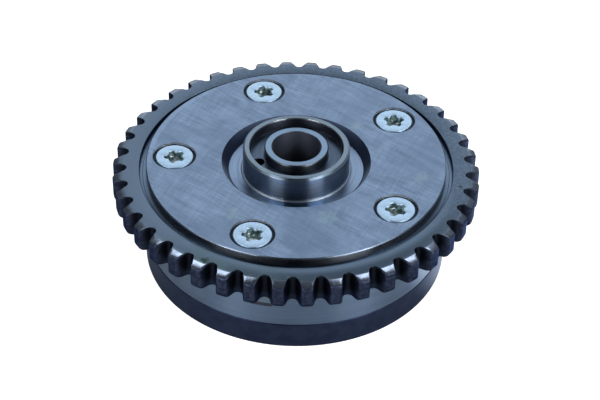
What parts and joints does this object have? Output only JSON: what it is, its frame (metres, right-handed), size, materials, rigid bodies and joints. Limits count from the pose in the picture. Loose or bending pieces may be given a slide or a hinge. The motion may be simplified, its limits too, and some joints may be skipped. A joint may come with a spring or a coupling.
{
  "type": "camshaft sprocket with vane-type cam adjuster",
  "caption": "Toothed timing chain ring round a drum-shaped vane adjuster, with a screwed cover plate and the inner rotor's turned hub standing proud.",
  "frame": {"origin": "on the axis of rotation, in the plane of the resting face of the end plate", "axes": "+Z along the axis of rotation towards the camshaft side, where the hub is; +Y towards cover_screw_1"},
  "size_m": [0.107, 0.1068, 0.0369],
  "materials": {
    "ring_steel": "sintered and tumbled, dark grey",
    "housing_steel": "fine turned, satin",
    "cover_steel": "ground, with fine crossing lines",
    "black_oxide_steel": "black oxide, satin",
    "hardened_steel": "ground",
    "zinc_screw": "pale zinc plating",
    "rotor_steel": "fine turned, bright",
    "vane_steel": "ground",
    "spring_steel": "drawn"
  },
  "bodies": {
    "housing": {"sprocket_ring": "ring_steel", "stator_housing": "housing_steel", "cover_plate": "cover_steel", "end_plate": "black_oxide_steel", "lock_bush": "hardened_steel", "locating_dowel": "hardened_steel", "cover_screw_1": "zinc_screw", "cover_screw_2": "zinc_screw", "cover_screw_3": "zinc_screw", "cover_screw_4": "zinc_screw", "cover_screw_5": "zinc_screw"},
    "rotor": {"rotor": "rotor_steel", "centre_sleeve": "rotor_steel", "vane_1": "vane_steel", "vane_2": "vane_steel", "vane_3": "vane_steel", "vane_4": "vane_steel", "vane_5": "vane_steel", "vane_spring_1": "spring_steel", "vane_spring_2": "spring_steel", "vane_spring_3": "spring_steel", "vane_spring_4": "spring_steel", "vane_spring_5": "spring_steel", "lock_pin_spring": "spring_steel"},
    "lock_pin": {"lock_pin": "hardened_steel"}
  },
  "joints": [
    {"name": "cam_adjustment", "type": "hinge", "parent": "housing", "child": "rotor", "pos_m": [0, 0, 0.0188], "axis": [0, 0, 1], "range_deg": [-3, 27]},
    {"name": "lock_pin_travel", "type": "slide", "parent": "rotor", "child": "lock_pin", "axis": [0, 0, 1], "range_m": [0, 0.0028], "stiffness_N_per_m": 300, "springref_m": -0.0005, "deforming": ["lock_pin_spring"]}
  ]
}
